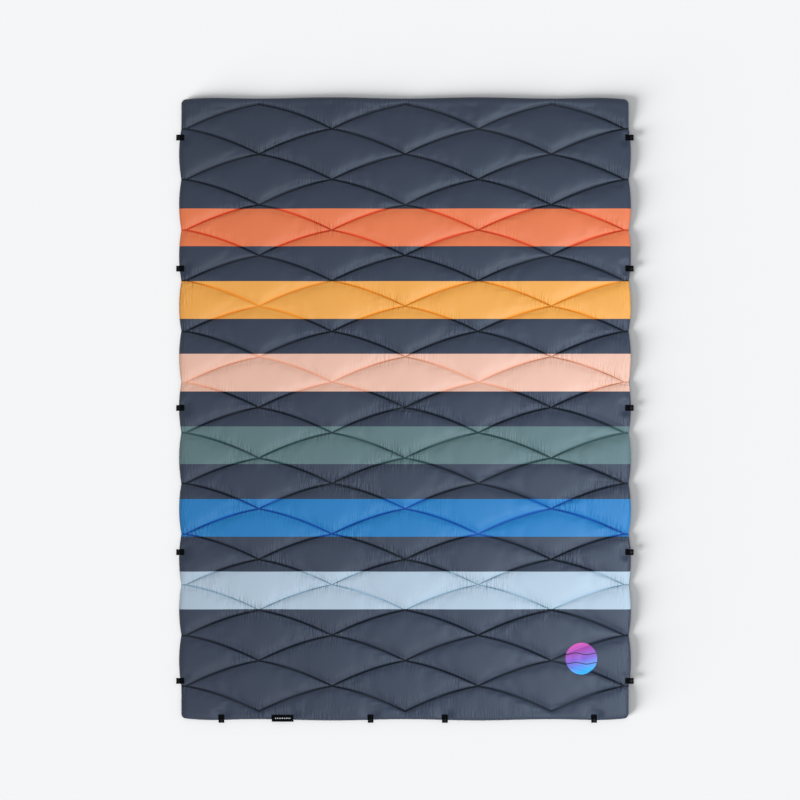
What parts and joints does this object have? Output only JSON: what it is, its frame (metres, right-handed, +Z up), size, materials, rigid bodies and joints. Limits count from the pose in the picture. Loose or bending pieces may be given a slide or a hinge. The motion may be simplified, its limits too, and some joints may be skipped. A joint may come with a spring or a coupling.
{
  "type": "camp blanket",
  "caption": "Quilted, insulated camp blanket with wave-line stitching, colour stripes and press-snap webbing tabs.",
  "frame": {"origin": "on the floor under the middle of the blanket, tabs included", "axes": "+X across the blanket to its right side, +Y along it to the head end, +Z up"},
  "size_m": [1.386, 1.896, 0.0208],
  "materials": {
    "face_fabric": "satin",
    "back_fabric": "satin",
    "wadding": "matte",
    "thread": "matte",
    "tab_thread": "matte",
    "tab_webbing": "matte",
    "snap_plastic": "satin",
    "label_weave": "matte",
    "badge_film": "satin"
  },
  "bodies": {
    "left_half": {"face_shell_left": "face_fabric", "back_shell_left": "back_fabric", "insulation_left": "wadding", "needle_thread_left": "thread", "bobbin_thread_left": "thread", "edge_seam_thread_left": "thread", "tab_bartacks_left": "tab_thread", "woven_label": "label_weave"},
    "right_half": {"face_shell_right": "face_fabric", "back_shell_right": "back_fabric", "insulation_right": "wadding", "needle_thread_right": "thread", "bobbin_thread_right": "thread", "edge_seam_thread_right": "thread", "tab_bartacks_right": "tab_thread", "badge_patch": "badge_film"},
    "left_tab_1": {"left_tab_1_webbing": "tab_webbing", "left_tab_1_cap": "snap_plastic", "left_tab_1_socket": "snap_plastic"},
    "left_tab_2": {"left_tab_2_webbing": "tab_webbing", "left_tab_2_cap": "snap_plastic", "left_tab_2_socket": "snap_plastic"},
    "left_tab_3": {"left_tab_3_webbing": "tab_webbing", "left_tab_3_cap": "snap_plastic", "left_tab_3_socket": "snap_plastic"},
    "left_tab_4": {"left_tab_4_webbing": "tab_webbing", "left_tab_4_cap": "snap_plastic", "left_tab_4_socket": "snap_plastic"},
    "left_tab_5": {"left_tab_5_webbing": "tab_webbing", "left_tab_5_cap": "snap_plastic", "left_tab_5_socket": "snap_plastic"},
    "right_tab_1": {"right_tab_1_webbing": "tab_webbing", "right_tab_1_cap": "snap_plastic", "right_tab_1_stud": "snap_plastic"},
    "right_tab_2": {"right_tab_2_webbing": "tab_webbing", "right_tab_2_cap": "snap_plastic", "right_tab_2_stud": "snap_plastic"},
    "right_tab_3": {"right_tab_3_webbing": "tab_webbing", "right_tab_3_cap": "snap_plastic", "right_tab_3_stud": "snap_plastic"},
    "right_tab_4": {"right_tab_4_webbing": "tab_webbing", "right_tab_4_cap": "snap_plastic", "right_tab_4_stud": "snap_plastic"},
    "right_tab_5": {"right_tab_5_webbing": "tab_webbing", "right_tab_5_cap": "snap_plastic", "right_tab_5_stud": "snap_plastic"},
    "foot_tab_1": {"foot_tab_1_webbing": "tab_webbing", "foot_tab_1_cap": "snap_plastic", "foot_tab_1_socket": "snap_plastic"},
    "foot_tab_2": {"foot_tab_2_webbing": "tab_webbing", "foot_tab_2_cap": "snap_plastic", "foot_tab_2_socket": "snap_plastic"},
    "foot_tab_3": {"foot_tab_3_webbing": "tab_webbing", "foot_tab_3_cap": "snap_plastic", "foot_tab_3_stud": "snap_plastic"},
    "foot_tab_4": {"foot_tab_4_webbing": "tab_webbing", "foot_tab_4_cap": "snap_plastic", "foot_tab_4_stud": "snap_plastic"}
  },
  "joints": [
    {"name": "fold_in_half", "type": "hinge", "parent": "left_half", "child": "right_half", "pos_m": [0, 0, 0.0212], "axis": [0, -1, 0], "range_deg": [0, 180]},
    {"name": "left_tab_1_lift", "type": "hinge", "parent": "left_half", "child": "left_tab_1", "pos_m": [-0.6685, 0.825, 0.0114], "axis": [0, -1, 0], "range_deg": [-90, 0]},
    {"name": "left_tab_2_lift", "type": "hinge", "parent": "left_half", "child": "left_tab_2", "pos_m": [-0.6685, 0.428, 0.0114], "axis": [0, -1, 0], "range_deg": [-90, 0]},
    {"name": "left_tab_3_lift", "type": "hinge", "parent": "left_half", "child": "left_tab_3", "pos_m": [-0.6685, 0.006, 0.0114], "axis": [0, -1, 0], "range_deg": [-90, 0]},
    {"name": "left_tab_4_lift", "type": "hinge", "parent": "left_half", "child": "left_tab_4", "pos_m": [-0.6685, -0.431, 0.0114], "axis": [0, -1, 0], "range_deg": [-90, 0]},
    {"name": "left_tab_5_lift", "type": "hinge", "parent": "left_half", "child": "left_tab_5", "pos_m": [-0.6685, -0.821, 0.0114], "axis": [0, -1, 0], "range_deg": [-90, 0]},
    {"name": "right_tab_1_lift", "type": "hinge", "parent": "right_half", "child": "right_tab_1", "pos_m": [0.6685, 0.825, 0.0114], "axis": [0, 1, 0], "range_deg": [-90, 0]},
    {"name": "right_tab_2_lift", "type": "hinge", "parent": "right_half", "child": "right_tab_2", "pos_m": [0.6685, 0.428, 0.0114], "axis": [0, 1, 0], "range_deg": [-90, 0]},
    {"name": "right_tab_3_lift", "type": "hinge", "parent": "right_half", "child": "right_tab_3", "pos_m": [0.6685, 0.006, 0.0114], "axis": [0, 1, 0], "range_deg": [-90, 0]},
    {"name": "right_tab_4_lift", "type": "hinge", "parent": "right_half", "child": "right_tab_4", "pos_m": [0.6685, -0.431, 0.0114], "axis": [0, 1, 0], "range_deg": [-90, 0]},
    {"name": "right_tab_5_lift", "type": "hinge", "parent": "right_half", "child": "right_tab_5", "pos_m": [0.6685, -0.821, 0.0114], "axis": [0, 1, 0], "range_deg": [-90, 0]},
    {"name": "foot_tab_1_lift", "type": "hinge", "parent": "left_half", "child": "foot_tab_1", "pos_m": [-0.556, -0.9235, 0.0114], "axis": [1, 0, 0], "range_deg": [-90, 0]},
    {"name": "foot_tab_2_lift", "type": "hinge", "parent": "left_half", "child": "foot_tab_2", "pos_m": [-0.104, -0.9235, 0.0114], "axis": [1, 0, 0], "range_deg": [-90, 0]},
    {"name": "foot_tab_3_lift", "type": "hinge", "parent": "right_half", "child": "foot_tab_3", "pos_m": [0.121, -0.9235, 0.0114], "axis": [1, 0, 0], "range_deg": [-90, 0]},
    {"name": "foot_tab_4_lift", "type": "hinge", "parent": "right_half", "child": "foot_tab_4", "pos_m": [0.573, -0.9235, 0.0114], "axis": [1, 0, 0], "range_deg": [-90, 0]}
  ]
}
